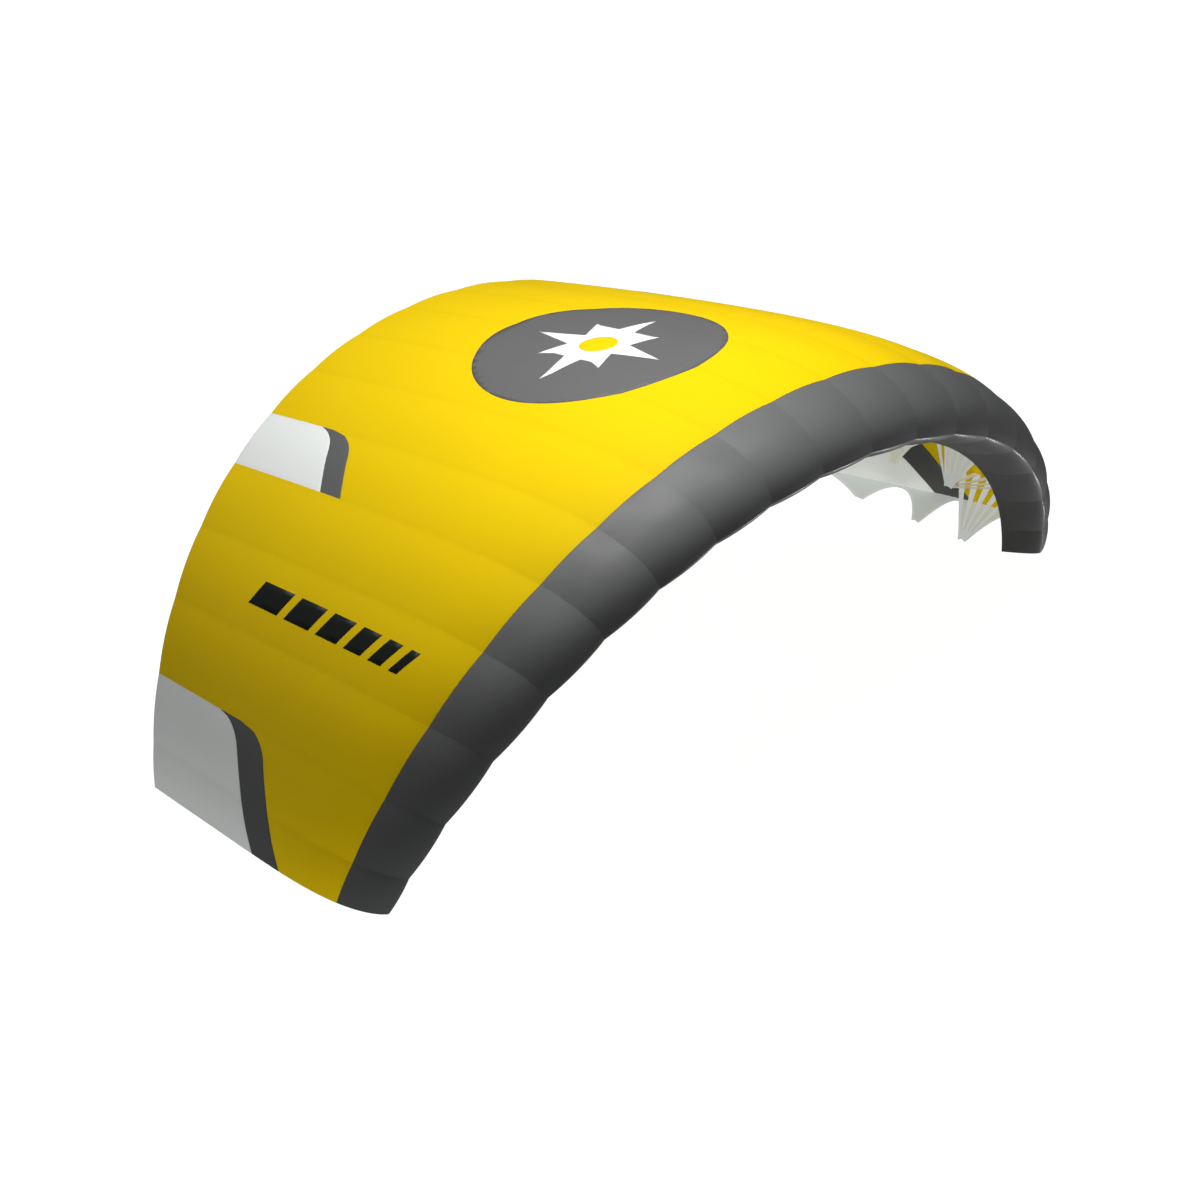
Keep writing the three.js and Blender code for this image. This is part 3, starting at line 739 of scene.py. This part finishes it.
def add_rib(number):
    """A nose rib at an odd number and a line rib, with tapes along its arches, at an even one."""
    low, high = rib_shift(number) - RIB / 2, rib_shift(number) + RIB / 2
    tapes = []
    if number % 2:
        name = f"nose_rib_{number:02d}"
        place, top = rib_top(number)
        outline = top[::-1]
    else:
        name = f"line_rib_{number:02d}"
        place, top = rib_top(number, RIB_END)
        arches = free_arches(place, top)
        lower = np.concatenate([arch[:-1] for arch in arches] + [arches[-1][-1:]])
        outline = np.concatenate([top[1:-1], lower])[::-1]
        taped = [arches[0][TAPE_START:]] + arches[1:]
        tapes.append(flat_mesh(f"{name}_tape", [strip_beside(arch, TAPE) for arch in taped], place,
                               low - TAPE_LIFT, high + TAPE_LIFT, MATERIALS["tape_cloth"]))
    piece = flat_mesh(f"{name}_cloth", [outline], place, low, high, MATERIALS["rib_cloth"])
    for tape in tapes:
        declare(tape, "strap_cloth")
    declare(piece, "rib_cloth", [name], flat=tuple(outline.max(0) - outline.min(0)),
            area=outline_area(outline), rests_on=[], with_pieces=tapes)


def fan_columns():
    """Edges of the straps and of the windows between them, from 0 to 1."""
    strap = FAN["strap_share"] / FAN["straps"]
    window = (1 - FAN["strap_share"]) / (FAN["straps"] - 1)
    return np.cumsum([0] + [strap, window] * (FAN["straps"] - 1) + [strap])


def add_fan(number, side, word):
    """Straps from a line rib's front tab to the seam of the rib beside it, joined at the tab."""
    rib, seam = section(float(number)), section(float(number + side))
    ahead, behind = tab_corners("front", rib)
    clear = RIB / 2 + TAPE_LIFT + STRAP / 2 + FAN["clear"]
    shares = fan_columns()
    corner = ahead + (behind - ahead) * shares[:, None] + [0, FAN["inset"]]
    low = to_space(corner, rib, rib_shift(number) + side * clear)
    u = FAN["front"] + (FAN["rear"] - FAN["front"]) * shares
    under = outline_at(np.sqrt(u), seam, np.full(u.shape, RIB_TOP_DEPTH + STRAP))
    high = to_space(under, seam, -side * clear)
    middle = high.mean(0) - low.mean(0)
    face = np.cross(rib["along"], middle)
    face = turned(face * (STRAP / 2 / np.linalg.norm(face)))
    reaches = np.concatenate([[0, FAN["joined"]], np.linspace(FAN["joined"], 1, FAN_STEPS)[1:]])
    mid = low[:, None] + (high - low)[:, None] * reaches[None, :, None]
    keep = np.ones((len(shares) - 1, len(reaches) - 1), bool)
    keep[1::2, 1:] = False
    count = len(shares) * len(reaches)
    faces = closed_faces(np.arange(count).reshape(mid.shape[:2]), *squares_and_rim(keep), count)
    points = np.concatenate([(mid + face).reshape(-1, 3), (mid - face).reshape(-1, 3)])
    used = np.unique(faces)
    number_of = np.zeros(len(points), int)
    number_of[used] = np.arange(len(used))
    name = f"fan_{number:02d}_{word}"
    mesh = bpy.data.meshes.new(name)
    mesh.from_pydata(points[used].tolist(), [], number_of[faces].tolist())
    width, length = np.linalg.norm(high[-1] - high[0]), np.linalg.norm(middle)
    cloth = np.stack(np.broadcast_arrays(shares[:, None] * width, reaches[None] * length), -1)
    set_uv(mesh, "Cloth", np.tile(cloth.reshape(-1, 2), (2, 1))[faces])
    mesh.materials.append(MATERIALS["strap_cloth"])
    mesh.update()
    area = sum(polygon.area for polygon in mesh.polygons) / 2
    flat = (max(width, np.linalg.norm(low[-1] - low[0])), float(length))
    piece = link(mesh, f"{name}_cloth")
    declare(piece, "strap_cloth", [name], flat=flat, area=area, rests_on=[])


def add_ribs_and_fans():
    for number in range(CELLS + 1):
        add_rib(number)
    for number in range(0, CELLS + 1, 2):
        for side, word in ((-1, "left"), (1, "right")):
            if 0 < number + side < CELLS:
                add_fan(number, side, word)


def patch(name, outline, low, high, material, slot, **sheet):
    """A patch on the skin over a closed outline given in cells along the span and chord fractions."""
    scale = np.array([CELL_WIDTHS[-1], CENTRE_CHORD])
    lowest, highest = outline.min(0), outline.max(0)
    grid_s = column_positions(0, CELLS)
    grid_s = grid_s[(grid_s > lowest[0]) & (grid_s < highest[0])]
    grid_u = np.linspace(lowest[1], highest[1], PATCH_ROWS)
    inner = np.stack(np.meshgrid(grid_s, grid_u), -1).reshape(-1, 2)
    count = len(outline)
    ring = [[i, (i + 1) % count] for i in range(count)]
    along = [[count + row * len(grid_s) + k, count + (row + 1) * len(grid_s) + k]
             for row in range(len(grid_u) - 1) for k in range(len(grid_s))]
    given = [Vector(p) for p in np.concatenate([outline, inner]) * scale]
    inside_only = 1
    cut = delaunay_2d_cdt(given, ring + along, [list(range(count))], inside_only, MERGE)
    cloth, near = np.array([p[:] for p in cut[0]]), cut[2]
    s, q = cloth[:, 0] / scale[0], np.sqrt(cloth[:, 1] / scale[1])
    points = np.concatenate([skin_point(s, q, -high), skin_point(s, q, -low)])
    edges = {(a, b) for face in near for a, b in zip(face, face[1:] + face[:1])}
    rim = [(a, b) for face in near for a, b in zip(face, face[1:] + face[:1]) if (b, a) not in edges]
    faces = [list(face) for face in near] + [[i + len(s) for i in face[::-1]] for face in near]
    faces += [[b, a, a + len(s), b + len(s)] for a, b in rim]
    mesh = bpy.data.meshes.new(name)
    mesh.from_pydata(points.tolist(), [], faces)
    mesh.polygons.foreach_set("use_smooth", np.arange(len(faces)) < 2 * len(near))
    order = np.array([loop.vertex_index for loop in mesh.loops])
    set_uv(mesh, "Cloth", np.tile(cloth, (2, 1))[order])
    mesh.materials.append(MATERIALS[material])
    mesh.update()
    piece = link(mesh, name)
    if sheet:
        flat = tuple(float(size) for size in (highest - lowest) * scale)
        sheet |= {"flat": flat, "area": outline_area(outline * scale)}
    return declare(piece, slot, **sheet)


def spot(centre, x, y):
    """Places x and y metres from a spot of the skin, as cells along the span and chord fractions."""
    return np.stack([centre[0] + x / CELL_WIDTHS[-1], centre[1] + y / CENTRE_CHORD], -1)


def ellipse(centre, long, short, turn, count):
    angle = np.linspace(0, 2 * np.pi, count, endpoint=False)
    along, across = long * np.cos(angle), short * np.sin(angle)
    c, s = math.cos(turn), math.sin(turn)
    return spot(centre, along * c - across * s, along * s + across * c)


def add_badge():
    centre = BADGE["centre"]
    disc = ellipse(centre, BADGE["long"], BADGE["short"], BADGE["turn"], BADGE_POINTS)
    rays = np.arange(2 * STAR["rays"])
    reach = np.where(rays % 2, STAR["waist"], np.where(rays % 4, STAR["short"], STAR["long"]))
    angle = rays * np.pi / STAR["rays"]
    star = spot(centre, reach * np.cos(angle), reach * np.sin(angle))
    dot = ellipse(centre, STAR["dot"], STAR["dot"], 0.0, DOT_POINTS)
    star = patch("badge_star", star, PATCH, 2 * PATCH, "white_cloth", "light_cloth")
    dot = patch("badge_dot", dot, 2 * PATCH, 3 * PATCH, "spot_cloth", "main_cloth")
    patch("badge", disc, 0.0, PATCH, "badge_cloth", "dark_cloth", with_pieces=[star, dot],
          rests_on=["skin_centre_left_cloth", "skin_centre_right_cloth"])


def add_bars():
    rear = BARS["rear"]
    low, high = BARS["across"]
    for number, length in enumerate(BARS["lengths"]):
        bar = np.array([(low, rear - length + BARS["slant"]), (high, rear - length), (high, rear),
                        (low, rear + BARS["slant"])])
        patch(f"bar_{number}", bar, 0.0, PATCH, "print_cloth", "dark_cloth",
              rests_on=["skin_inner_left_cloth"])
        rear -= length + BARS["gap"]


def add_floor():
    mesh = bpy.data.meshes.new("floor")
    reach = FLOOR["reach"]
    mesh.from_pydata([(-reach, -reach, 0), (reach, -reach, 0), (reach, reach, 0), (-reach, reach, 0)], [],
                     [(0, 1, 2, 3)])
    floor = link(mesh, "floor")
    floor.visible_diffuse = False
    floor.visible_glossy = False
    material = bpy.data.materials.new("floor")
    material.use_nodes = True
    shader = material.node_tree.nodes["Principled BSDF"]
    shader.inputs["Base Color"].default_value = FLOOR["colour"]
    shader.inputs["Roughness"].default_value = FLOOR["roughness"]
    shader.inputs["Specular IOR Level"].default_value = 0.0
    shader.inputs["Emission Color"].default_value = (1, 1, 1, 1)
    shader.inputs["Emission Strength"].default_value = FLOOR["glow"]
    mesh.materials.append(material)


def add_light(name, kind, place, energy, glossy=False, diffuse=True, only_on=(), **settings):
    light = bpy.data.lights.new(name, kind)
    light.energy = energy
    for setting, value in settings.items():
        setattr(light, setting, value)
    lamp = bpy.data.objects.new(name, light)
    lamp.location = place
    lamp.visible_glossy = glossy
    lamp.visible_diffuse = diffuse
    bpy.context.scene.collection.objects.link(lamp)
    if kind == "SUN":
        lamp.rotation_euler = (-Vector(place)).to_track_quat("-Z", "Y").to_euler()
    if only_on:
        group = bpy.data.collections.new(f"{name}_lit")
        for piece in bpy.context.scene.objects:
            if "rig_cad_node" not in piece and piece.name.startswith(only_on):
                group.objects.link(piece)
        lamp.light_linking.receiver_collection = group


def add_world():
    """White to the camera, and a few broad soft glows to the part."""
    world = bpy.data.worlds.new("studio")
    bpy.context.scene.world = world
    world.use_nodes = True
    nodes = Nodes(world.node_tree)
    way = nodes.add("ShaderNodeTexCoord").outputs["Generated"]
    glow = 0.0
    for place, strength in SKY:
        toward = nodes.add("ShaderNodeVectorMath", operation="DOT_PRODUCT")
        nodes.feed(toward.inputs[0], way)
        nodes.feed(toward.inputs[1], Vector(place).normalized())
        lobe = nodes.maths("POWER", nodes.maths("MAXIMUM", toward.outputs["Value"], 0.0), SKY_POWER)
        glow = nodes.maths("ADD", nodes.maths("MULTIPLY", lobe, strength), glow)
    rays = nodes.add("ShaderNodeLightPath").outputs
    glow = nodes.maths("MULTIPLY", glow, nodes.between(rays["Is Glossy Ray"], 0.0, 1.0, 1.0, SKY_GLOSS))
    soft, bright = nodes.add("ShaderNodeBackground"), nodes.add("ShaderNodeBackground")
    for background in (soft, bright):
        nodes.feed(background.inputs["Color"], (1, 1, 1, 1))
    nodes.feed(soft.inputs["Strength"], glow)
    mix = nodes.add("ShaderNodeMixShader")
    for socket, value in zip(mix.inputs, (rays["Is Camera Ray"], soft.outputs[0], bright.outputs[0])):
        nodes.feed(socket, value)
    nodes.feed(nodes.add("ShaderNodeOutputWorld").inputs["Surface"], mix.outputs[0])


def add_camera():
    lens = bpy.data.cameras.new("camera")
    lens.lens, lens.sensor_width, lens.clip_end = CAMERA["lens"], CAMERA["sensor"], CAMERA["reach"]
    camera = bpy.data.objects.new("camera", lens)
    place = Vector(CAMERA["place"])
    way = Vector(CAMERA["target"]) - place
    roll = Matrix.Rotation(CAMERA["roll"], 3, way.normalized())
    turn = roll @ way.to_track_quat("-Z", "Y").to_matrix()
    camera.matrix_world = Matrix.Translation(place) @ turn.to_4x4()
    bpy.context.scene.collection.objects.link(camera)
    bpy.context.scene.camera = camera


add_skins()
add_panels()
add_ribs_and_fans()
add_badge()
add_bars()
add_floor()
for light_name, light_look in LIGHTS.items():
    add_light(light_name, **light_look)
add_world()
add_camera()
bpy.context.scene.view_settings.view_transform = "Standard"
